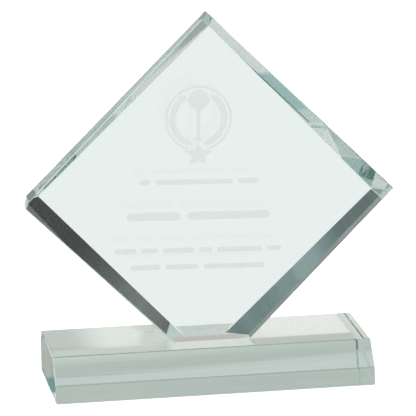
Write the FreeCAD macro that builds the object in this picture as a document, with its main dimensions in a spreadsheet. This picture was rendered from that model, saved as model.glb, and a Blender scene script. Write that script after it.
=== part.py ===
"""Diamond plate award: a bevelled glass plate bonded by its sawn-off corner to a long glass block.

Millimetres, +Z up. The origin is the middle of the block's underside, which rests on the table.
The award faces -Y, and +X is to the right of someone who reads it.
"""
import FreeCAD, Part
import math
import os
import Sketcher
from FreeCAD import Placement, Rotation, Vector

ORIGIN_POINT = (-1, 1)
ACROSS_AXIS = -1
UP_AXIS = -2
LINE_START = 1
LINE_END = 2

SIZES = [
    ("plate_side", 132.0, "side of the square plate"),
    ("plate_thickness", 19.0, "front face to back face"),
    ("wall_depth", 10.0, "upright polished wall between the front face and the bevel"),
    ("bevel_width", 6.3, "how far each bevel reaches in over the back face"),
    ("flat_turn", 1.7, "degrees by which the ground bevels are turned against the outline"),
    ("foot_cut", 19.7, "height of the corner sawn off to make the foot"),
    ("tip_nip", 1.6, "how much is ground off the left tip"),
    ("tip_nip_angle", 22.0, "degrees by which that little face looks upwards"),
    ("plate_arris", 0.3, "polished-off edge of the plate"),
    ("plate_shift", 1.9, "the plate's middle, to the right of the block's middle"),
    ("plate_setback", 13.0, "front edge of the block's top to the plate's front face"),
    ("bond_thickness", 0.15, "cured adhesive between foot and block"),
    ("block_length", 161.0, "left end to right end"),
    ("block_depth", 61.0, "front to back at the underside"),
    ("block_height", 21.0, "underside to top"),
    ("top_depth", 49.0, "front to back of the flat top"),
    ("low_band_height", 8.9, "steep lower band of the front"),
    ("low_band_setback", 1.6, "how far the lower band leans back over its height"),
    ("block_arris", 0.5, "polished-off edge of the block"),
]
OVERRUN = 5.0


def make_sheet(doc):
    sheet = doc.addObject("Spreadsheet::Sheet", "Sizes")
    for row, (name, value, meaning) in enumerate(SIZES, start=1):
        sheet.set(f"A{row}", name)
        sheet.set(f"B{row}", str(value))
        sheet.set(f"C{row}", meaning)
        sheet.setAlias(f"B{row}", name)
    doc.recompute()
    return sheet


def origin_feature(body, role):
    return next(feature for feature in body.Origin.OriginFeatures if feature.Role == role)


def new_sketch(body, name, plane):
    sketch = body.newObject("Sketcher::SketchObject", name)
    sketch.AttachmentSupport = [(origin_feature(body, plane), "")]
    sketch.MapMode = "FlatFace"
    return sketch


def closed_outline(sketch, points):
    """Draw a closed run of straight lines through rough points; the dimensions come afterwards."""
    count = len(points)
    for index, (across, up) in enumerate(points):
        next_across, next_up = points[(index + 1) % count]
        line = Part.LineSegment(Vector(across, up, 0), Vector(next_across, next_up, 0))
        sketch.addGeometry(line, False)
    for index in range(count):
        following = (index + 1) % count
        sketch.addConstraint(Sketcher.Constraint("Coincident", index, LINE_END, following, LINE_START))


def dimension(sketch, name, kind, where, rough, formula):
    """Add a driving dimension and bind it to the sheet."""
    number = sketch.addConstraint(Sketcher.Constraint(kind, *where, rough))
    sketch.renameConstraint(number, name)
    sketch.setExpression(f"Constraints.{name}", formula)


def box_outline(sketch, left, width, low, height):
    """A rectangle: formulas for how far its corner lies left of and below the origin, and its size."""
    closed_outline(sketch, [(-2, -1), (3, -1), (3, 4), (-2, 4)])
    for line, direction in enumerate(("Horizontal", "Vertical", "Horizontal", "Vertical")):
        sketch.addConstraint(Sketcher.Constraint(direction, line))
    dimension(sketch, "left_side", "DistanceX", (0, LINE_START, *ORIGIN_POINT), 2.0, left)
    dimension(sketch, "low_side", "DistanceY", (0, LINE_START, *ORIGIN_POINT), 1.0, low)
    dimension(sketch, "width", "DistanceX", (0, LINE_START, 1, LINE_START), 5.0, width)
    dimension(sketch, "height", "DistanceY", (1, LINE_START, 2, LINE_START), 5.0, height)


def pad(body, sketch, name, length):
    feature = body.newObject("PartDesign::Pad", name)
    feature.Profile = sketch
    feature.SideType = "Symmetric"
    feature.setExpression("Length", length)
    return feature


def pocket_through(body, sketch, name):
    feature = body.newObject("PartDesign::Pocket", name)
    feature.Profile = sketch
    feature.SideType = "Symmetric"
    feature.Type = "ThroughAll"
    return feature


def arris(body, base, name, edges, size):
    feature = body.newObject("PartDesign::Chamfer", name)
    feature.Base = (base, edges)
    feature.setExpression("Size", size)
    return feature


def must_shrink(feature, before):
    """A cut that misses the solid leaves its volume as it was."""
    if not feature.Shape.Volume < before - 1.0:
        raise RuntimeError(f"{feature.Name} cut nothing")


def square_on_its_corner(body):
    sketch = new_sketch(body, "PlateOutline", "XZ_Plane")
    closed_outline(sketch, [(90, 0), (0, 90), (-90, 0), (0, -90)])
    constrain = sketch.addConstraint
    constrain(Sketcher.Constraint("PointOnObject", 0, LINE_START, ACROSS_AXIS))
    constrain(Sketcher.Constraint("PointOnObject", 1, LINE_START, UP_AXIS))
    constrain(Sketcher.Constraint("Symmetric", 0, LINE_START, 2, LINE_START, *ORIGIN_POINT))
    constrain(Sketcher.Constraint("Symmetric", 1, LINE_START, 3, LINE_START, *ORIGIN_POINT))
    constrain(Sketcher.Constraint("Perpendicular", 0, 1))
    dimension(sketch, "side", "Distance", (0,), 130.0, "Sizes.plate_side")
    return sketch


def bevel_section(body):
    """The wedge that the grinder takes off, seen along one side of the plate.

    The sketch's first axis runs from the front of the plate to its back, and its second axis runs
    from the plate's middle out through the side.
    """
    sketch = new_sketch(body, "BevelSection", "YZ_Plane")
    sketch.AttachmentOffset = Placement(Vector(0, 0, 0), Rotation(Vector(1, 0, 0), 45))
    sketch.setExpression("AttachmentOffset.Rotation.Angle", "45 + Sizes.flat_turn")
    closed_outline(sketch, [(12, 55), (12, 72), (-5, 72)])
    sketch.addConstraint(Sketcher.Constraint("Vertical", 0))
    sketch.addConstraint(Sketcher.Constraint("Horizontal", 1))
    depth = "(Sizes.plate_thickness - Sizes.wall_depth)"
    slope = f"(Sizes.bevel_width / {depth})"
    reach = "(Sizes.plate_side / 2 - Sizes.bevel_width)"
    dimension(sketch, "back_side", "DistanceX", (*ORIGIN_POINT, 0, LINE_START), 12.0,
              f"Sizes.plate_thickness / 2 + {OVERRUN}")
    dimension(sketch, "inner_tip", "DistanceY", (*ORIGIN_POINT, 0, LINE_START), 55.0,
              f"{reach} - {OVERRUN} * {slope}")
    dimension(sketch, "wedge_depth", "DistanceX", (2, LINE_START, 1, LINE_START), 17.0,
              f"{depth} + 2 * {OVERRUN}")
    dimension(sketch, "wedge_width", "DistanceY", (0, LINE_START, 1, LINE_START), 17.0,
              f"({depth} + 2 * {OVERRUN}) * {slope}")
    return sketch


def foot_section(body):
    sketch = new_sketch(body, "FootCut", "XZ_Plane")
    half_diagonal = "Sizes.plate_side * sqrt(2) / 2"
    box_outline(sketch, f"Sizes.foot_cut + {OVERRUN}", f"2 * (Sizes.foot_cut + {OVERRUN})",
                f"{half_diagonal} + {OVERRUN}", f"Sizes.foot_cut + {OVERRUN}")
    return sketch


def tip_section(body):
    """Sketched from the left tip inwards, tilted with the little face that is ground there."""
    sketch = new_sketch(body, "TipCut", "XZ_Plane")
    sketch.AttachmentOffset = Placement(Vector(-93, 0, 0), Rotation(Vector(0, 0, 1), -22))
    sketch.setExpression("AttachmentOffset.Base.x", "-Sizes.plate_side * sqrt(2) / 2")
    sketch.setExpression("AttachmentOffset.Rotation.Angle", "-Sizes.tip_nip_angle")
    box_outline(sketch, f"{OVERRUN}", f"{OVERRUN} + Sizes.tip_nip", f"2 * {OVERRUN}", f"4 * {OVERRUN}")
    return sketch


def outer_edges(shape, half_thickness):
    """Names of the edges round the front face and the back face, and of the ones between two walls."""

    def on_a_face(vertex):
        return abs(abs(vertex.Y) - half_thickness) < 0.001

    def runs_front_to_back(edge):
        start, end = edge.Vertexes
        return math.hypot(start.X - end.X, start.Z - end.Z) < 0.001

    return [
        f"Edge{number}"
        for number, edge in enumerate(shape.Edges, start=1)
        if all(on_a_face(vertex) for vertex in edge.Vertexes) or runs_front_to_back(edge)
    ]


def make_plate(doc, sheet):
    """The plate is drawn round its own middle, standing on a corner, then lifted onto the block."""
    body = doc.addObject("PartDesign::Body", "diamond_plate")
    body.Label = "diamond_plate"
    slab = pad(body, square_on_its_corner(body), "Slab", "Sizes.plate_thickness")
    doc.recompute()
    bevel = pocket_through(body, bevel_section(body), "Bevel")
    doc.recompute()
    must_shrink(bevel, slab.Shape.Volume)
    bevels = body.newObject("PartDesign::PolarPattern", "Bevels")
    bevels.Originals = [bevel]
    bevels.Axis = (origin_feature(body, "Y_Axis"), [""])
    bevels.Angle = 360
    bevels.Occurrences = 4
    body.Tip = bevels
    doc.recompute()
    must_shrink(bevels, bevel.Shape.Volume)
    edges = outer_edges(bevels.Shape, sheet.plate_thickness / 2)
    polished = arris(body, bevels, "PlateArris", edges, "Sizes.plate_arris")
    doc.recompute()
    must_shrink(polished, bevels.Shape.Volume)
    foot = pocket_through(body, foot_section(body), "Foot")
    doc.recompute()
    must_shrink(foot, polished.Shape.Volume)
    tip = pocket_through(body, tip_section(body), "Tip")
    doc.recompute()
    must_shrink(tip, foot.Shape.Volume)
    body.setExpression("Placement.Base.x", "Sizes.plate_shift")
    body.setExpression("Placement.Base.y",
                       "Sizes.block_depth / 2 - Sizes.top_depth + Sizes.plate_setback"
                       " + Sizes.plate_thickness / 2")
    body.setExpression("Placement.Base.z",
                       "Sizes.block_height + Sizes.bond_thickness"
                       " + Sizes.plate_side * sqrt(2) / 2 - Sizes.foot_cut")
    doc.recompute()
    return body


def make_block(doc):
    """One section, front to the left, run the length of the block."""
    body = doc.addObject("PartDesign::Body", "base_block")
    body.Label = "base_block"
    sketch = new_sketch(body, "BlockSection", "YZ_Plane")
    closed_outline(sketch, [(-30, 0), (30, 0), (30, 21), (-18, 21), (-29, 9)])
    for line, direction in ((0, "Horizontal"), (1, "Vertical"), (2, "Horizontal")):
        sketch.addConstraint(Sketcher.Constraint(direction, line))
    sketch.addConstraint(Sketcher.Constraint("Symmetric", 0, LINE_START, 0, LINE_END, *ORIGIN_POINT))
    dimension(sketch, "depth", "DistanceX", (0, LINE_START, 0, LINE_END), 60.0, "Sizes.block_depth")
    dimension(sketch, "height", "DistanceY", (1, LINE_START, 1, LINE_END), 21.0, "Sizes.block_height")
    dimension(sketch, "top", "DistanceX", (3, LINE_START, 2, LINE_START), 48.0, "Sizes.top_depth")
    dimension(sketch, "band", "DistanceY", (0, LINE_START, 4, LINE_START), 9.0, "Sizes.low_band_height")
    dimension(sketch, "lean", "DistanceX", (0, LINE_START, 4, LINE_START), 1.0, "Sizes.low_band_setback")
    blank = pad(body, sketch, "Blank", "Sizes.block_length")
    doc.recompute()
    edges = [f"Edge{number}" for number in range(1, len(blank.Shape.Edges) + 1)]
    arris(body, blank, "BlockArris", edges, "Sizes.block_arris")
    doc.recompute()
    return body


def make_bond(doc, plate, sheet):
    """The film has the outline of the plate's foot and fills the gap down to the block."""
    foot_level = plate.Shape.BoundBox.ZMin
    foot_face = min(plate.Shape.Faces, key=lambda face: face.CenterOfMass.z)
    if abs(foot_face.CenterOfMass.z - foot_level) > 1e-6:
        raise RuntimeError("the plate has no flat foot")
    film = doc.addObject("Part::Feature", "bond_film")
    film.Label = "bond_film"
    film.Shape = foot_face.extrude(Vector(0, 0, -sheet.bond_thickness))
    return film


def check(doc, nodes):
    for thing in doc.Objects:
        if "Invalid" in thing.State or "Error" in thing.State:
            raise RuntimeError(f"{thing.Name} failed: {thing.State}")
    for node in nodes:
        if node.Shape.isNull() or not node.Shape.isValid() or len(node.Shape.Solids) != 1:
            raise RuntimeError(f"{node.Label} is not one sound solid")


def main():
    doc = FreeCAD.newDocument("diamond_award")
    sheet = make_sheet(doc)
    plate = make_plate(doc, sheet)
    block = make_block(doc)
    bond = make_bond(doc, plate, sheet)
    doc.recompute()
    nodes = [plate, block, bond]
    check(doc, nodes)
    os.makedirs("parts", exist_ok=True)
    for node in nodes:
        node.Shape.exportStep(os.path.join("parts", node.Label + ".step"))
        box = node.Shape.BoundBox
        print(f"{node.Label}: {node.Shape.Volume / 1000:.1f} cm3, {len(node.Shape.Faces)} faces, "
              f"z {box.ZMin:.2f} to {box.ZMax:.2f}")


main()
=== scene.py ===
import bmesh
import bpy
import math
import random
from mathutils import Matrix, Vector


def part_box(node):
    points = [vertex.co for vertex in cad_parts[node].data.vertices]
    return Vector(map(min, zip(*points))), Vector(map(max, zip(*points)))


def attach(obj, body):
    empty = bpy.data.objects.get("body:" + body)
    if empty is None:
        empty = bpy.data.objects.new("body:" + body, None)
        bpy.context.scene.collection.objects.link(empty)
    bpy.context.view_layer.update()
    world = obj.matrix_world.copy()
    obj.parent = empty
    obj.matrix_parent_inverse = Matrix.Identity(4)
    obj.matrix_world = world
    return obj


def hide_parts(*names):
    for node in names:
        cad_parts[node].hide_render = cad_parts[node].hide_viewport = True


# Diamond glass award: a square plate of jade glass on its corner, bonded to a long glass block.
# Everything is in metres. The award faces -Y and stands on z = 0.

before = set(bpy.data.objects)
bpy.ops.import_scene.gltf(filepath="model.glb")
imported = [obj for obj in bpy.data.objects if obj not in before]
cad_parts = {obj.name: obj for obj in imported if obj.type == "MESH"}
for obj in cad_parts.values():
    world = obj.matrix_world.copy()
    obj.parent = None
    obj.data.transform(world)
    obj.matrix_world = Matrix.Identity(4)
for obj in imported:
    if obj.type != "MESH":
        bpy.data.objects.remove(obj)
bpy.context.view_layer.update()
mm = 0.001

plateLow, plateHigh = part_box("diamond_plate")
blockLow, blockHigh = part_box("base_block")
filmLow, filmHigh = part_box("bond_film")

plateFacts = {
    "side": 132 * mm,
    "wallDepth": 10 * mm,        # upright wall before the bevel starts
    "groundFrom": 65.6 * mm,     # this far from the middle, broad faces give way to ground edges
    "groundFull": 65.95 * mm,
}
blockFacts = {
    "topFront": -18.5 * mm,      # front edge of the flat top
    "creaseFront": -28.9 * mm,   # where the sloped band meets the steep one
    "creaseUp": 8.9 * mm,
    "groundFrom": 79.9 * mm,     # the same at the ends of the block
    "groundFull": 80.4 * mm,
    "groundFront": -18.8 * mm,   # everything in front of this is ground too
}
halfDiagonal = plateFacts["side"] * math.sqrt(0.5)
plateMid = Vector((plateHigh.x - halfDiagonal, (plateLow.y + plateHigh.y) / 2, plateHigh.z - halfDiagonal))


# small helpers

def addNode(tree, kind, x, y, **settings):
    node = tree.nodes.new(kind)
    node.location = (x, y)
    for name, value in settings.items():
        setattr(node, name, value)
    return node


def setInputs(node, **values):
    for name, value in values.items():
        node.inputs[name.replace("_", " ")].default_value = value
    return node


def mathNode(tree, x, y, operation, first, second=None):
    node = addNode(tree, "ShaderNodeMath", x, y, operation=operation)
    for socket, value in zip(node.inputs, (first, second)):
        if isinstance(value, bpy.types.NodeSocket):
            tree.links.new(value, socket)
        elif value is not None:
            socket.default_value = value
    return node.outputs[0]


def softStep(tree, x, y, value, low, high, toLow=0.0, toHigh=1.0):
    # a smooth ramp between two values
    node = addNode(tree, "ShaderNodeMapRange", x, y, interpolation_type="SMOOTHSTEP")
    setInputs(node, From_Min=low, From_Max=high, To_Min=toLow, To_Max=toHigh)
    tree.links.new(value, node.inputs["Value"])
    return node.outputs["Result"]


def mixColour(tree, x, y, factor, first, second):
    node = addNode(tree, "ShaderNodeMix", x, y, data_type="RGBA")
    for socket, value in ((node.inputs[0], factor), (node.inputs[6], first), (node.inputs[7], second)):
        if isinstance(value, bpy.types.NodeSocket):
            tree.links.new(value, socket)
        else:
            socket.default_value = value if isinstance(value, float) else (*value, 1.0)
    return node.outputs[2]


def newMaterial(name):
    material = bpy.data.materials.new(name)
    material.use_nodes = True
    tree = material.node_tree
    return material, tree, tree.nodes["Principled BSDF"]


def giveMaterial(piece, material):
    piece.data.materials.clear()
    piece.data.materials.append(material)


def newPiece(name, work, material):
    bmesh.ops.recalc_face_normals(work, faces=work.faces[:])
    mesh = bpy.data.meshes.new(name)
    work.to_mesh(mesh)
    work.free()
    piece = bpy.data.objects.new(name, mesh)
    bpy.context.collection.objects.link(piece)
    giveMaterial(piece, material)
    return piece


# view

cameraPlace = {
    "azimuth": -9.439,
    "elevation": 14.137,
    "roll": 0.757,
    "distance": 1.7513,
    "lens": 302.9,
    "sensor": 36.0,
    "target": (2.345 * mm, 4.0 * mm, 87.18 * mm),
}


def makeCamera():
    azimuth = math.radians(cameraPlace["azimuth"])
    elevation = math.radians(cameraPlace["elevation"])
    roll = math.radians(cameraPlace["roll"])
    back = Vector((math.sin(azimuth) * math.cos(elevation),
                   -math.cos(azimuth) * math.cos(elevation),
                   math.sin(elevation)))
    level = Vector((math.cos(azimuth), math.sin(azimuth), 0))
    upward = back.cross(level)
    right = math.cos(roll) * level - math.sin(roll) * upward
    top = math.sin(roll) * level + math.cos(roll) * upward
    place = Vector(cameraPlace["target"]) + back * cameraPlace["distance"]
    lens = bpy.data.cameras.new("studioCamera")
    lens.sensor_width = cameraPlace["sensor"]
    lens.lens = cameraPlace["lens"]
    lens.clip_end = 100
    camera = bpy.data.objects.new("studioCamera", lens)
    bpy.context.collection.objects.link(camera)
    turned = Matrix((right, top, back)).transposed().to_4x4()
    camera.matrix_world = Matrix.Translation(place) @ turned
    bpy.context.scene.camera = camera


makeCamera()
print("camera placed")


# glass

glassLook = {
    "index": 1.52,
    "absorbColour": (0.0, 0.25, 0.20),   # what little passes; the rest is swallowed on the way
    "absorbDensity": 4.0,
    "bodyTint": (0.87, 0.922, 0.908),
    "bodyTintDeep": (0.855, 0.914, 0.900),
    "lineTint": (0.66, 0.74, 0.73),       # along the deepest polishing lines
    "lineStrength": 0.35,
    "lineDepth": 0.01 * mm,
    "arrisPaintedShade": (0.52, 0.58, 0.56),      # the long edges are eased; their darker look is painted shade, laid on as this tint
    "arrisWidth": 0.42 * mm,
    "arrisCore": 0.4,                     # share of that width with the full painted shade
    "driftScale": 9.0,                    # how closely the two body tints follow each other
}

polishLook = {
    "streaks": ((4.0, 150.0, 4.0), 1.0),      # how closely the broad streaks lie, along and across the edges,
    "hairlines": ((4.2, 780.0, 4.2), 1.5),    # and how ragged they are
    "haze": 0.012,
    "hazeLimits": (0.35, 0.75),
    "fineShare": 0.35,                  # of the dimming, the rest comes from the broad streaks
    "dimLimits": (0.38, 0.62),
}


def makePolishGroup():
    # Grinding and polishing leave long faint lines along an edge, which bend the light and dim it a little.
    group = bpy.data.node_groups.new("polishMarks", "ShaderNodeTree")
    face = group.interface
    for name, kind, start in (("Vector", "NodeSocketVector", None), ("Ground", "NodeSocketFloat", 0.0)):
        socket = face.new_socket(name=name, in_out="INPUT", socket_type=kind)
        if start is not None:
            socket.default_value = start
    for name in ("Height", "Haze", "Dimming"):
        face.new_socket(name=name, in_out="OUTPUT", socket_type="NodeSocketFloat")
    inward = addNode(group, "NodeGroupInput", -900, 0)
    outward = addNode(group, "NodeGroupOutput", 700, 0)

    noises = []
    for y, (stretch, detail) in ((200, polishLook["streaks"]), (-120, polishLook["hairlines"])):
        along = addNode(group, "ShaderNodeMapping", -780, y)     # stretched along the edges of the glass
        setInputs(along, Scale=stretch)
        group.links.new(inward.outputs["Vector"], along.inputs["Vector"])
        noise = addNode(group, "ShaderNodeTexNoise", -600, y)
        setInputs(noise, Scale=1.0, Detail=detail, Roughness=0.5)
        group.links.new(along.outputs["Vector"], noise.inputs["Vector"])
        noises.append(noise.outputs["Fac"])
    streak, hair = noises

    height = mathNode(group, 200, 100, "MULTIPLY", hair, inward.outputs["Ground"])
    group.links.new(height, outward.inputs["Height"])
    haze = softStep(group, -100, -400, hair, *polishLook["hazeLimits"], 0.0, polishLook["haze"])
    haze = mathNode(group, 200, -300, "MULTIPLY", haze, inward.outputs["Ground"])
    group.links.new(haze, outward.inputs["Haze"])
    fine = softStep(group, -100, -600, hair, *polishLook["dimLimits"], 0.0, polishLook["fineShare"])
    broad = softStep(group, -100, -800, streak, *polishLook["dimLimits"], 0.0, 1.0 - polishLook["fineShare"])
    dimming = mathNode(group, 100, -600, "ADD", fine, broad)
    dimming = mathNode(group, 300, -500, "MULTIPLY", dimming, inward.outputs["Ground"])
    group.links.new(dimming, outward.inputs["Dimming"])
    return group


polishGroup = makePolishGroup()

footFacts = {                       # outline of the plate's foot, a hair inside its rim
    "halfWidth": 19.5 * mm,
    "halfDepth": 9.4 * mm,
    "narrowing": 0.99,              # how fast it narrows behind the upright walls
    "touch": 0.01 * mm,             # this near to the joint the glass counts as touching it
}


def groundMask(tree, spot, groundFrom, groundFull, groundFront):
    # 1 on the ground edges of a rectangular piece of glass, 0 on its broad faces;
    # spot is the place on the piece, from its middle, and the lengths are from there too
    parts = addNode(tree, "ShaderNodeSeparateXYZ", -900, -500)
    tree.links.new(spot, parts.inputs[0])
    acrossPart = mathNode(tree, -720, -450, "ABSOLUTE", parts.outputs[0])
    upPart = mathNode(tree, -720, -600, "ABSOLUTE", parts.outputs[2])
    outermost = mathNode(tree, -560, -520, "MAXIMUM", acrossPart, upPart)
    edges = softStep(tree, -400, -520, outermost, groundFrom, groundFull)
    if groundFront is None:
        return edges
    bands = mathNode(tree, -560, -700, "LESS_THAN", parts.outputs[1], groundFront)
    return mathNode(tree, -250, -600, "MAXIMUM", edges, bands)


def contactMask(tree, level, side):
    # 1 everywhere but where the bond joins plate and block, as there the two glasses are one to the light;
    # level is the height of the joint, and side is 1 for the glass above it and -1 for the glass below
    coords = addNode(tree, "ShaderNodeTexCoord", -1500, -900)
    parts = addNode(tree, "ShaderNodeSeparateXYZ", -1300, -900)
    tree.links.new(coords.outputs["Object"], parts.inputs[0])
    across, deep, up = parts.outputs
    inside = mathNode(tree, -500, -900, "SUBTRACT", up, level)
    inside = mathNode(tree, -300, -900, "MULTIPLY", inside, side)
    flush = mathNode(tree, -100, -900, "LESS_THAN", inside, footFacts["touch"])
    fromMiddle = mathNode(tree, -1100, -1000, "SUBTRACT", across, plateMid.x)
    fromMiddle = mathNode(tree, -900, -1000, "ABSOLUTE", fromMiddle)
    pastWall = mathNode(tree, -1100, -1200, "SUBTRACT", deep, plateLow.y + plateFacts["wallDepth"])
    pastWall = mathNode(tree, -900, -1200, "MAXIMUM", pastWall, 0.0)
    narrowing = mathNode(tree, -700, -1200, "MULTIPLY", pastWall, footFacts["narrowing"])
    halfWidth = mathNode(tree, -500, -1200, "SUBTRACT", footFacts["halfWidth"], narrowing)
    withinWidth = mathNode(tree, -300, -1100, "LESS_THAN", fromMiddle, halfWidth)
    fromDepthMiddle = mathNode(tree, -1100, -1400, "SUBTRACT", deep, plateMid.y)
    fromDepthMiddle = mathNode(tree, -900, -1400, "ABSOLUTE", fromDepthMiddle)
    withinDepth = mathNode(tree, -300, -1400, "LESS_THAN", fromDepthMiddle, footFacts["halfDepth"])
    joined = mathNode(tree, -100, -1100, "MULTIPLY", withinWidth, withinDepth)
    joined = mathNode(tree, 50, -1000, "MULTIPLY", joined, flush)
    return mathNode(tree, 200, -1000, "SUBTRACT", 1.0, joined)


def arrisMask(tree, y, coords, deep, up):
    # 1 beside one long level edge, where the painted edge shade goes; the edge is given by its depth and its
    # height
    parts = addNode(tree, "ShaderNodeSeparateXYZ", -1300, y)
    tree.links.new(coords.outputs["Object"], parts.inputs[0])
    sides = [mathNode(tree, -1100, y - 150 * number, "ABSOLUTE",
                      mathNode(tree, -1250, y - 150 * number, "SUBTRACT", parts.outputs[axis], place))
             for number, (axis, place) in enumerate(((1, deep), (2, up)))]
    away = mathNode(tree, -900, y, "MAXIMUM", *sides)
    width = glassLook["arrisWidth"]
    return softStep(tree, -700, y, away, width, glassLook["arrisCore"] * width)


def finishGlass(name, facts, centre, turn, joint, groundFront=None, arrises=()):
    # turn, in degrees, brings the edges of the glass level and upright for the polishing lines
    material, tree, shader = newMaterial(name)
    tree.links.new(contactMask(tree, *joint), shader.inputs["Alpha"])
    setInputs(shader, Transmission_Weight=1.0, IOR=glassLook["index"], Metallic=0.0)
    coords = addNode(tree, "ShaderNodeTexCoord", -1500, 0)
    middle = addNode(tree, "ShaderNodeVectorMath", -1300, 0, operation="SUBTRACT")
    middle.inputs[1].default_value = centre
    tree.links.new(coords.outputs["Object"], middle.inputs[0])
    turned = addNode(tree, "ShaderNodeMapping", -1100, 0)
    turned.inputs["Rotation"].default_value = (0, math.radians(turn), 0)
    tree.links.new(middle.outputs[0], turned.inputs["Vector"])
    spot = turned.outputs["Vector"]

    mask = groundMask(tree, spot, facts["groundFrom"], facts["groundFull"], groundFront)
    marks = addNode(tree, "ShaderNodeGroup", -200, -200, node_tree=polishGroup)
    tree.links.new(spot, marks.inputs["Vector"])
    tree.links.new(mask, marks.inputs["Ground"])
    tree.links.new(marks.outputs["Haze"], shader.inputs["Roughness"])
    bump = addNode(tree, "ShaderNodeBump", 0, -300)
    setInputs(bump, Strength=1.0, Distance=glassLook["lineDepth"])
    tree.links.new(marks.outputs["Height"], bump.inputs["Height"])
    tree.links.new(bump.outputs["Normal"], shader.inputs["Normal"])

    drift = addNode(tree, "ShaderNodeTexNoise", -500, 300)      # the melt is never quite one colour
    setInputs(drift, Scale=glassLook["driftScale"], Detail=1.0)
    tree.links.new(spot, drift.inputs["Vector"])
    tint = mixColour(tree, -200, 300, drift.outputs["Fac"], glassLook["bodyTint"], glassLook["bodyTintDeep"])
    lines = mathNode(tree, 0, 0, "MULTIPLY", marks.outputs["Dimming"], glassLook["lineStrength"])
    tint = mixColour(tree, 200, 300, lines, tint, glassLook["lineTint"])
    # painted shade along the eased edges of the block: a darker tint stands in for the shade these edges show
    for number, (deep, up) in enumerate(arrises):
        paintedEdgeShade = arrisMask(tree, -700 - 400 * number, coords, deep, up)
        tint = mixColour(tree, 400 + 150 * number, 300, paintedEdgeShade, tint, glassLook["arrisPaintedShade"])
    tree.links.new(tint, shader.inputs["Base Color"])

    depth = addNode(tree, "ShaderNodeVolumeAbsorption", 300, -300)
    depth.inputs["Color"].default_value = (*glassLook["absorbColour"], 1.0)
    depth.inputs["Density"].default_value = glassLook["absorbDensity"]
    tree.links.new(depth.outputs["Volume"], tree.nodes["Material Output"].inputs["Volume"])
    return material


plateGlass = finishGlass("jadePlateGlass", plateFacts, plateMid, 45, (plateLow.z, 1.0))
blockMid = (blockLow + blockHigh) / 2
blockGlass = finishGlass("jadeBlockGlass", blockFacts, blockMid, 0, (blockHigh.z, -1.0),
                         groundFront=blockFacts["groundFront"] - blockMid.y,
                         arrises=((blockFacts["topFront"], blockHigh.z),
                                  (blockFacts["creaseFront"], blockFacts["creaseUp"])))
giveMaterial(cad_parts["diamond_plate"], plateGlass)
giveMaterial(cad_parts["base_block"], blockGlass)
print("glass finished")


# cured bond under the foot

bondLook = {
    "bite": 0.02 * mm,            # how far the film reaches into the glass on each side
    "inset": 0.35 * mm,           # the rim wanders up to this much inside the foot
    "insetShares": (0.1, 1.0),
    "rimEdge": 3 * mm,            # edges longer than this belong to the rim
    "rimCuts": 5,
    "weldGap": 0.001 * mm,
    "seed": 11,
    "cloudScale": 160.0,
    "cloudLimits": (0.3, 0.7),
    "roughness": (0.35, 0.6),
    "haze": (0.03, 0.06),
    "colour": (0.80, 0.72, 0.69),
    "colourCloudy": (0.86, 0.80, 0.77),
}


def makeBond():
    dice = random.Random(bondLook["seed"])
    work = bmesh.new()
    work.from_mesh(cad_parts["bond_film"].data)
    bmesh.ops.remove_doubles(work, verts=work.verts[:], dist=bondLook["weldGap"])
    rim = [edge for edge in work.edges if edge.calc_length() > bondLook["rimEdge"]]
    bmesh.ops.subdivide_edges(work, edges=rim, cuts=bondLook["rimCuts"])
    middle = (filmLow + filmHigh) / 2
    for vert in work.verts:
        inward = Vector((middle.x - vert.co.x, middle.y - vert.co.y, 0)).normalized()
        vert.co += inward * dice.uniform(*bondLook["insetShares"]) * bondLook["inset"]
        vert.co.z += math.copysign(bondLook["bite"], vert.co.z - middle.z)
    material, tree, shader = newMaterial("curedBond")
    coords = addNode(tree, "ShaderNodeTexCoord", -900, 0)
    cloud = addNode(tree, "ShaderNodeTexNoise", -650, 100)
    setInputs(cloud, Scale=bondLook["cloudScale"], Detail=3.0)
    tree.links.new(coords.outputs["Object"], cloud.inputs["Vector"])
    colour = mixColour(tree, -350, 100, cloud.outputs["Fac"], bondLook["colour"], bondLook["colourCloudy"])
    tree.links.new(colour, shader.inputs["Base Color"])
    for y, socket, ends in ((-150, "Roughness", bondLook["roughness"]), (-350, "Alpha", bondLook["haze"])):
        amount = softStep(tree, -350, y, cloud.outputs["Fac"], *bondLook["cloudLimits"], *ends)
        tree.links.new(amount, shader.inputs[socket])
    setInputs(shader, Specular_IOR_Level=0.0)
    bond = newPiece("bondLine", work, material)
    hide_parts("bond_film")
    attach(bond, "root")


makeBond()
print("bond made")


# marks etched into the front face: ring, wreath, cup and star, with plain bars where a name would go

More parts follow.
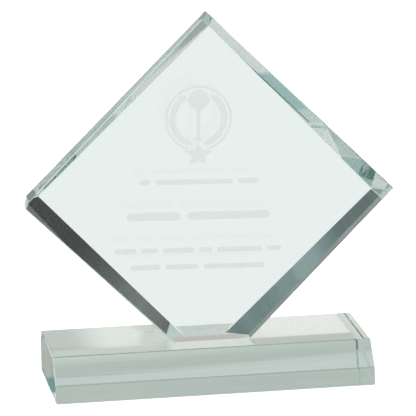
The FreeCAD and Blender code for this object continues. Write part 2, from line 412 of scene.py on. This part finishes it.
marksLook = {
    "depth": 0.04 * mm,              # thickness of the frosted skin
    "lift": 0.02 * mm,               # clear of the polished face
    "turn": 1.7,                     # degrees clockwise, like the bevels
    "middle": (-5.4, 0.0),           # in mm from the middle of the plate, before turning
    "ring": (-0.9, 40.6, 16.15, 1.1),   # across, height of its middle, radius and line width
    "ringGap": 17,                   # left open for the star, in degrees to each side
    "ringSteps": 96,
    "star": (-0.7, 22.3, 7.1, 6.1),  # across, height of its middle, reach sideways and upwards
    "starInner": 0.5,
    "leaves": 10,                    # on each side of each branch of the wreath
    "branch": (13.1, 160, 41),       # radius, and where it starts and ends, in degrees from the top
    "branchEnds": (0.9, 1.1),        # how many leaves' room its stalk and its top stand beyond those ends
    "leaf": (2.1, 1.15),             # how far its tip and its root stand from the middle of the branch
    "leafReach": (0.88, 1.06),       # a leaf's tip varies between these shares of that,
    "leafLean": (1.1, 1.35),         # and leans this many leaves' room towards the top
    "seed": 7,
    "cup": [                         # half of the lidded cup, from its foot up, from the middle of the ring
        (2.7, -11.2), (2.5, -10.4), (1.0, -9.4), (0.9, 3.9), (2.4, 5.0), (4.6, 7.2), (5.7, 9.3), (5.9, 10.1),
        (4.9, 10.4), (4.5, 12.0), (3.3, 13.5), (1.5, 14.3), (0.6, 14.5),
    ],
    "bars": [                        # height of the line, thickness, widths of the bars and the gap between
        (8.6, 2.5, (5.5, 39.0, 10.5), 2.6),
        (-8.8, 4.0, (27.0, 42.0), 3.4),
        (-26.3, 2.5, (11.0, 8.5, 16.0, 6.5, 23.0, 7.5), 2.4),
        (-34.9, 2.5, (15.0, 16.5, 31.0), 2.6),
    ],
    "colour": (0.777, 0.827, 0.820),
    "colourFine": (0.802, 0.852, 0.845),
    "cover": (0.80, 0.90),
    "roughness": (0.75, 0.95),
    "pitScale": 7000.0,
    "pitLimits": (0.3, 0.7),
    "pitDepth": 0.02 * mm,
    "passScale": 1300.0,
    "passShare": 0.3,                # how much the passes of the engraver add to the pits
    "coverLimits": (0.3, 0.9),
}


def flatShape(points, middle):
    # a filled outline in the plane of the front face, in mm; points are (across, up)
    work = bmesh.new()
    for across, up in points:
        work.verts.new((across, 0, up))
    work.faces.new(work.verts[:])
    bmesh.ops.translate(work, verts=work.verts[:], vec=(middle[0], 0, middle[1]))
    return work


def addShape(sheet, work):
    # pour one shape into the sheet of marks
    spare = bpy.data.meshes.new("spare")
    work.to_mesh(spare)
    work.free()
    sheet.from_mesh(spare)
    bpy.data.meshes.remove(spare)


def roundedBar(width, height, steps=5):
    radius = min(width, height) / 2
    points = []
    for side, start in ((1, -90), (-1, 90)):
        for step in range(steps + 1):
            angle = math.radians(start + 180 * step / steps)
            points.append((side * (width / 2 - radius) + radius * math.cos(angle), radius * math.sin(angle)))
    return points


def starPoints(wide, tall, inner):
    points = []
    for step in range(10):
        share = inner if step % 2 else 1.0
        angle = math.radians(36 * step)
        points.append((share * wide * math.sin(angle), share * tall * math.cos(angle)))
    return points


def onCircle(radius, angle):
    # angle in degrees, clockwise from the top
    angle = math.radians(angle)
    return radius * math.sin(angle), radius * math.cos(angle)


def branchPoints(dice):
    # one leafy branch of the wreath: up its outer side from tip to tip, and back down its inner side
    radius, start, end = marksLook["branch"]
    tipReach, rootReach = marksLook["leaf"]
    stalkRoom, topRoom = marksLook["branchEnds"]
    step = (end - start) / marksLook["leaves"]
    outer, inner = [], []
    for number in range(marksLook["leaves"]):
        for line, side in ((outer, 1), (inner, -1)):
            reach = tipReach * dice.uniform(*marksLook["leafReach"])
            lean = dice.uniform(*marksLook["leafLean"])
            for away, along in ((rootReach, number), (reach, number + lean)):
                line.append(onCircle(radius + side * away, start + step * along))
    top = onCircle(radius, end + topRoom * step)
    stalk = onCircle(radius, start - stalkRoom * step)
    return [stalk] + outer + [top] + inner[::-1]


def makeRing(radius, width, gap):
    # an open ring, from one side of the star round to the other
    work = bmesh.new()
    start = [work.verts.new((0, 0, -radius - width / 2)), work.verts.new((0, 0, -radius + width / 2))]
    line = work.edges.new(start)
    bmesh.ops.rotate(work, verts=start, cent=(0, 0, 0), matrix=Matrix.Rotation(math.radians(gap), 3, "Y"))
    bmesh.ops.spin(work, geom=start + [line], cent=(0, 0, 0), axis=(0, 1, 0),
                   angle=math.tau - 2 * math.radians(gap), steps=marksLook["ringSteps"])
    return work


def makeMarks():
    dice = random.Random(marksLook["seed"])
    sheet = bmesh.new()
    ringAcross, ringUp, ringRadius, ringWidth = marksLook["ring"]
    ring = makeRing(ringRadius, ringWidth, marksLook["ringGap"])
    bmesh.ops.translate(ring, verts=ring.verts[:], vec=(ringAcross, 0, ringUp))
    addShape(sheet, ring)
    starAcross, starUp, starWide, starTall = marksLook["star"]
    addShape(sheet, flatShape(starPoints(starWide, starTall, marksLook["starInner"]), (starAcross, starUp)))
    cupOutline = marksLook["cup"] + [(-across, up) for across, up in reversed(marksLook["cup"])]
    addShape(sheet, flatShape(cupOutline, (ringAcross, ringUp)))
    for side in (-1, 1):
        branch = [(side * across, up) for across, up in branchPoints(dice)]
        addShape(sheet, flatShape(branch, (ringAcross, ringUp)))
    for up, height, widths, gap in marksLook["bars"]:
        total = sum(widths) + gap * (len(widths) - 1)
        across = -total / 2
        for width in widths:
            addShape(sheet, flatShape(roundedBar(width, height), (across + width / 2, up)))
            across += width + gap
    bmesh.ops.recalc_face_normals(sheet, faces=sheet.faces[:])
    skin = bmesh.ops.extrude_face_region(sheet, geom=sheet.faces[:])
    outer = [part for part in skin["geom"] if isinstance(part, bmesh.types.BMVert)]
    bmesh.ops.translate(sheet, verts=outer, vec=(0, -marksLook["depth"] / mm, 0))
    bmesh.ops.translate(sheet, verts=sheet.verts[:], vec=(marksLook["middle"][0], 0, marksLook["middle"][1]))
    bmesh.ops.rotate(sheet, verts=sheet.verts[:], cent=(0, 0, 0),
                     matrix=Matrix.Rotation(math.radians(marksLook["turn"]), 3, "Y"))
    bmesh.ops.scale(sheet, verts=sheet.verts[:], vec=(mm, mm, mm))
    bmesh.ops.translate(sheet, verts=sheet.verts[:],
                        vec=(plateMid.x, plateLow.y - marksLook["lift"], plateMid.z))

    material, tree, shader = newMaterial("etchedFrost")
    coords = addNode(tree, "ShaderNodeTexCoord", -1000, 0)
    pits = addNode(tree, "ShaderNodeTexNoise", -750, 100)     # crystals of the frosted skin
    setInputs(pits, Scale=marksLook["pitScale"], Detail=2.0, Roughness=0.6)
    tree.links.new(coords.outputs["Object"], pits.inputs["Vector"])
    passes = addNode(tree, "ShaderNodeTexWave", -750, -200, bands_direction="Z")     # passes of the engraver
    setInputs(passes, Scale=marksLook["passScale"], Distortion=0.6)
    tree.links.new(coords.outputs["Object"], passes.inputs["Vector"])
    swept = mathNode(tree, -550, -150, "MULTIPLY", passes.outputs["Fac"], marksLook["passShare"])
    blend = mathNode(tree, -400, 0, "ADD", swept, pits.outputs["Fac"])
    colour = mixColour(tree, -300, 150, blend, marksLook["colour"], marksLook["colourFine"])
    tree.links.new(colour, shader.inputs["Base Color"])
    rough = softStep(tree, -300, -50, pits.outputs["Fac"], *marksLook["pitLimits"], *marksLook["roughness"])
    tree.links.new(rough, shader.inputs["Roughness"])
    cover = softStep(tree, -300, -250, blend, *marksLook["coverLimits"], *marksLook["cover"])
    tree.links.new(cover, shader.inputs["Alpha"])
    bump = addNode(tree, "ShaderNodeBump", -300, -450)
    setInputs(bump, Strength=0.4, Distance=marksLook["pitDepth"])
    tree.links.new(pits.outputs["Fac"], bump.inputs["Height"])
    tree.links.new(bump.outputs["Normal"], shader.inputs["Normal"])
    setInputs(shader, Specular_IOR_Level=0.2)
    marks = newPiece("etchedMarks", sheet, material)
    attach(marks, "root")


makeMarks()
print("marks etched")


# studio: a white tent with a few soft cards round the award

studio = {
    "floorSize": 6.0,
    "airGap": 0.2 * mm,             # glass never quite touches the table, so its underside mirrors
    "floorColour": (0.93, 0.93, 0.925),
    "cameraGlow": 0.80,
    "roomColour": (1.0, 1.0, 1.0),
    "foldScale": 90.0,              # how closely the level folds of the cards follow each other
    "foldLimits": (0.3, 0.7),
    "bounces": 96,                  # light goes round many times inside such thick glass
    "clearBounces": 32,
}

# soft areas of the room: compass direction from straight behind, height above the horizon,
# full inside and gone beyond these many degrees, colour
roomPatches = [
    (-20, 38, 40, 52, (0.66, 0.68, 0.645)),
    (12, 46, 7, 12, (0.86, 0.88, 0.84)),
    (22, 58, 8, 13, (0.55, 0.57, 0.53)),
    (-102, 31, 4, 8, (0.88, 0.97, 1.0)),
]

# painted shadows and pools of light on the table, which the camera never sees straight, only in the glass:
# soft rectangles, in mm: middle, half sizes, soft edge, turn in degrees, colour
tablePaintedLightAndShade = [
    ((0, 18), (80, 20), 3, 0, (1.02, 0.97, 0.94)),
    ((7, 77), (27, 14), 6, 0, (0.68, 0.60, 0.56)),
    ((-76, 18), (19, 22), 12, 0, (0.54, 0.55, 0.50)),
    ((-22, 24), (7, 14), 3, -14, (0.76, 0.75, 0.70)),
    ((54, 24), (21, 13), 1.5, 0, (1.11, 1.05, 1.02)),
    ((54, 5), (30, 6), 1.5, 0, (0.58, 0.59, 0.545)),
    ((-51, 4), (33, 6), 2.0, 0, (0.72, 0.74, 0.69)),
    ((82, 20), (5.5, 30), 0.6, 0, (0.83, 0.80, 0.75)),
    ((-29, 69), (24, 22), 8, 0, (0.66, 0.66, 0.62)),
    ((-88, 4), (9, 13), 3, 0, (0.19, 0.39, 0.375)),
    ((-88, 56), (6, 36), 2, 0, (0.62, 0.62, 0.57)),
]
# the same painted shadows and pools of light, each led by how many times light must be bent or mirrored
# before it sees the patch
mirroredPaintedLightAndShade = [
    (3, (-522, -58), (26, 14), 4, 0, (1.18, 1.08, 1.06)),
    (6, (0, -329), (120, 97), 8, 0, (1.30, 1.17, 1.17)),
    (6, (8, -182), (60, 50), 6, 0, (0.64, 0.81, 0.82)),
    (6, (126, 24), (46, 46), 10, 0, (1.28, 1.13, 1.13)),
    (6, (158, 125), (22, 30), 10, 0, (0.72, 0.67, 0.63)),
    (6, (-23, -8), (38, 32), 3, 0, (1.55, 1.40, 1.38)),
    (6, (41, 16), (26, 26), 3, 0, (1.18, 1.06, 1.06)),
    (6, (77, 28), (11, 14), 2, 0, (1.62, 1.42, 1.42)),
    (6, (41, 8), (6, 4), 1.5, 0, (1.00, 1.08, 1.08)),
]

# cards: the way they lie from the middle of the plate, how far off, shift sideways and upwards, half sizes,
# colours from bottom to top, and how strong the level folds in the cloth are
cards = {
    "rightCard": {
        "direction": (0.91, 0.05, 0.43), "distance": 0.40, "shift": (0.0, 0.010), "half": (0.09, 0.12),
        "stops": [(0.0, (0.20, 0.20, 0.19)), (0.29, (0.19, 0.185, 0.18)), (0.33, (0.20, 0.195, 0.19)),
                  (0.39, (0.26, 0.25, 0.245)), (0.45, (0.20, 0.20, 0.195)), (0.51, (0.10, 0.10, 0.10)),
                  (0.56, (0.05, 0.052, 0.052)), (0.62, (0.012, 0.013, 0.013)), (1.0, (0.004, 0.005, 0.005))],
        "folds": 0.10,
    },
    "rightEdgeCard": {
        "direction": (0.75, 0.36, 0.33), "distance": 0.40, "shift": (0.0, 0.0), "half": (0.06, 0.12),
        "stops": [(0.0, (0.29, 0.27, 0.25)), (1.0, (0.24, 0.225, 0.21))],
        "folds": 0.10,
    },
    "leftCard": {
        "direction": (-0.66, -0.27, 0.69), "distance": 0.40, "shift": (0.0, 0.0), "half": (0.11, 0.09),
        "stops": [(0.0, (0.22, 0.28, 0.29)), (0.22, (0.26, 0.33, 0.34)), (0.38, (0.27, 0.33, 0.35)),
                  (0.46, (0.37, 0.45, 0.47)), (0.57, (0.44, 0.52, 0.54)), (0.63, (0.33, 0.40, 0.42)),
                  (0.70, (0.19, 0.24, 0.25)), (0.80, (0.16, 0.20, 0.20)), (0.90, (0.20, 0.25, 0.25))],
        "folds": 0.12,
    },
    "leftEdgeCard": {
        "direction": (-0.55, 0.44, 0.50), "distance": 0.40, "shift": (0.0, 0.0), "half": (0.10, 0.10),
        "stops": [(0.0, (0.47, 0.45, 0.43)), (1.0, (0.53, 0.50, 0.48))],
        "folds": 0.12,
    },
    "backCard": {
        "direction": (0, 1, 0), "distance": 0.326, "shift": (-0.05, 0.1155), "half": (0.27, 0.08975),
        "stops": [(0.0, (0.62, 0.64, 0.605)), (0.60, (0.64, 0.66, 0.625)), (0.782, (0.74, 0.755, 0.72)),
                  (0.80, (0.665, 0.685, 0.65)), (0.82, (0.64, 0.66, 0.625)), (0.848, (0.64, 0.66, 0.625)),
                  (0.862, (0.76, 0.775, 0.745)), (0.90, (0.79, 0.80, 0.775))],
        "folds": 0.05,
    },
}


def makeRoom():
    world = bpy.data.worlds.new("lightTent")
    bpy.context.scene.world = world
    world.use_nodes = True
    tree = world.node_tree
    coords = addNode(tree, "ShaderNodeTexCoord", -1400, 0)
    heading = addNode(tree, "ShaderNodeVectorMath", -1200, 0, operation="NORMALIZE")
    tree.links.new(coords.outputs["Generated"], heading.inputs[0])
    colour = studio["roomColour"]
    for number, (compass, height, inner, outer, patchColour) in enumerate(roomPatches):
        compass, height = math.radians(compass), math.radians(height)
        dot = addNode(tree, "ShaderNodeVectorMath", -900, -200 * number, operation="DOT_PRODUCT")
        dot.inputs[1].default_value = (math.sin(compass) * math.cos(height),
                                       math.cos(compass) * math.cos(height), math.sin(height))
        tree.links.new(heading.outputs[0], dot.inputs[0])
        amount = softStep(tree, -700, -200 * number, dot.outputs["Value"],
                          math.cos(math.radians(outer)), math.cos(math.radians(inner)))
        colour = mixColour(tree, -450 + 150 * number, -200 * number, amount, colour, patchColour)
    around = tree.nodes["Background"]
    tree.links.new(colour, around.inputs["Color"])
    plain = addNode(tree, "ShaderNodeBackground", 200, -300)
    plain.inputs["Color"].default_value = (1, 1, 1, 1)
    seen = addNode(tree, "ShaderNodeLightPath", 200, 300)
    choose = addNode(tree, "ShaderNodeMixShader", 450, 0)
    tree.links.new(seen.outputs["Is Camera Ray"], choose.inputs[0])
    tree.links.new(around.outputs[0], choose.inputs[1])
    tree.links.new(plain.outputs[0], choose.inputs[2])
    tree.links.new(choose.outputs[0], tree.nodes["World Output"].inputs["Surface"])


def rectangleMask(tree, y, coords, middle, half, soft, turn):
    # 1 inside a soft-edged rectangle on the table
    place = addNode(tree, "ShaderNodeMapping", -1200, y, vector_type="TEXTURE")
    setInputs(place, Location=(middle[0] * mm, middle[1] * mm, 0), Rotation=(0, 0, math.radians(turn)))
    tree.links.new(coords.outputs["Object"], place.inputs["Vector"])
    parts = addNode(tree, "ShaderNodeSeparateXYZ", -1000, y)
    tree.links.new(place.outputs["Vector"], parts.inputs[0])
    sides = []
    for axis in (0, 1):
        away = mathNode(tree, -850, y - 60 * axis, "ABSOLUTE", parts.outputs[axis])
        gone, full = (half[axis] + soft) * mm, (half[axis] - soft) * mm
        sides.append(softStep(tree, -700, y - 60 * axis, away, gone, full))
    return mathNode(tree, -500, y, "MULTIPLY", *sides)


def makeTable():
    work = bmesh.new()
    bmesh.ops.create_grid(work, x_segments=1, y_segments=1, size=studio["floorSize"] / 2)
    bmesh.ops.translate(work, verts=work.verts[:], vec=(0, 0, -studio["airGap"]))
    material, tree, shader = newMaterial("paleTable")
    setInputs(shader, Base_Color=(*studio["floorColour"], 1.0), Roughness=0.9, Specular_IOR_Level=0.0)
    shader.inputs["Emission Color"].default_value = (1, 1, 1, 1)
    shader.inputs["Emission Strength"].default_value = studio["cameraGlow"]
    coords = addNode(tree, "ShaderNodeTexCoord", -1500, -400)
    colour = (1.0, 1.0, 1.0)
    path = addNode(tree, "ShaderNodeLightPath", -900, 300)
    # the table's glow carries the painted shadows and pools of light for every ray but the camera's; the
    # camera sees the plain pale table
    always = [(0, *patch) for patch in tablePaintedLightAndShade]
    for number, (bounces, middle, half, soft, turn, patchColour) in enumerate(always + mirroredPaintedLightAndShade):
        amount = rectangleMask(tree, -400 - 250 * number, coords, middle, half, soft, turn)
        if bounces:
            deepEnough = mathNode(tree, -600, -350 - 250 * number, "GREATER_THAN", path.outputs["Ray Depth"],
                                  bounces - 0.5)
            amount = mathNode(tree, -400, -400 - 250 * number, "MULTIPLY", amount, deepEnough)
        colour = mixColour(tree, -300 + 120 * number, -400 - 250 * number, amount, colour, patchColour)
    glow = addNode(tree, "ShaderNodeEmission", 1300, -400)
    tree.links.new(colour, glow.inputs["Color"])
    seen = addNode(tree, "ShaderNodeLightPath", 1300, 300)
    choose = addNode(tree, "ShaderNodeMixShader", 1500, 0)
    tree.links.new(seen.outputs["Is Camera Ray"], choose.inputs[0])
    tree.links.new(glow.outputs[0], choose.inputs[1])
    tree.links.new(shader.outputs[0], choose.inputs[2])
    tree.links.new(choose.outputs[0], tree.nodes["Material Output"].inputs["Surface"])
    newPiece("paleTable", work, material)


def makeCard(name, look):
    toward = Vector(look["direction"]).normalized()
    side = Vector((0, 0, 1)).cross(toward).normalized()
    upward = toward.cross(side)
    middle = plateMid + toward * look["distance"] + side * look["shift"][0] + upward * look["shift"][1]
    halfAcross, halfUp = look["half"]
    work = bmesh.new()
    bmesh.ops.create_grid(work, x_segments=1, y_segments=1, size=1.0)
    bmesh.ops.scale(work, verts=work.verts[:], vec=(halfAcross, halfUp, 1.0))
    turned = Matrix((side, upward, toward)).transposed()
    bmesh.ops.transform(work, verts=work.verts[:], matrix=Matrix.Translation(middle) @ turned.to_4x4())
    material, tree, shader = newMaterial(name)
    tree.nodes.remove(shader)
    coords = addNode(tree, "ShaderNodeTexCoord", -1300, 0)
    fromMiddle = addNode(tree, "ShaderNodeVectorMath", -1100, 0, operation="SUBTRACT")
    fromMiddle.inputs[1].default_value = middle
    tree.links.new(coords.outputs["Object"], fromMiddle.inputs[0])
    rise = addNode(tree, "ShaderNodeVectorMath", -900, 0, operation="DOT_PRODUCT")
    rise.inputs[1].default_value = upward
    tree.links.new(fromMiddle.outputs[0], rise.inputs[0])
    level = addNode(tree, "ShaderNodeMapRange", -700, 0)
    setInputs(level, From_Min=-halfUp, From_Max=halfUp)
    tree.links.new(rise.outputs["Value"], level.inputs["Value"])
    ramp = addNode(tree, "ShaderNodeValToRGB", -500, 0)
    while len(ramp.color_ramp.elements) < len(look["stops"]):
        ramp.color_ramp.elements.new(0.5)
    for element, (position, colour) in zip(ramp.color_ramp.elements, look["stops"]):
        element.position = position
        element.color = (*colour, 1.0)
    tree.links.new(level.outputs["Result"], ramp.inputs["Fac"])
    folds = addNode(tree, "ShaderNodeTexNoise", -500, -300, noise_dimensions="1D")     # folds in the cloth
    setInputs(folds, Scale=studio["foldScale"], Detail=4.0, Roughness=0.6)
    tree.links.new(rise.outputs["Value"], folds.inputs["W"])
    shade = softStep(tree, -300, -300, folds.outputs["Fac"], *studio["foldLimits"],
                     1.0 - look["folds"], 1.0 + look["folds"])
    glow = addNode(tree, "ShaderNodeEmission", -100, 0)
    tree.links.new(ramp.outputs["Color"], glow.inputs["Color"])
    tree.links.new(shade, glow.inputs["Strength"])
    tree.links.new(glow.outputs[0], tree.nodes["Material Output"].inputs["Surface"])
    card = newPiece(name, work, material)
    card.visible_camera = False
    card.visible_diffuse = False
    card.visible_shadow = False


makeRoom()
makeTable()
for cardName, cardLook in cards.items():
    makeCard(cardName, cardLook)
scene = bpy.context.scene
scene.view_settings.view_transform = "Standard"
scene.cycles.max_bounces = studio["bounces"]
scene.cycles.transmission_bounces = studio["bounces"]
scene.cycles.glossy_bounces = studio["bounces"]
scene.cycles.transparent_max_bounces = studio["clearBounces"]
print("studio lit")
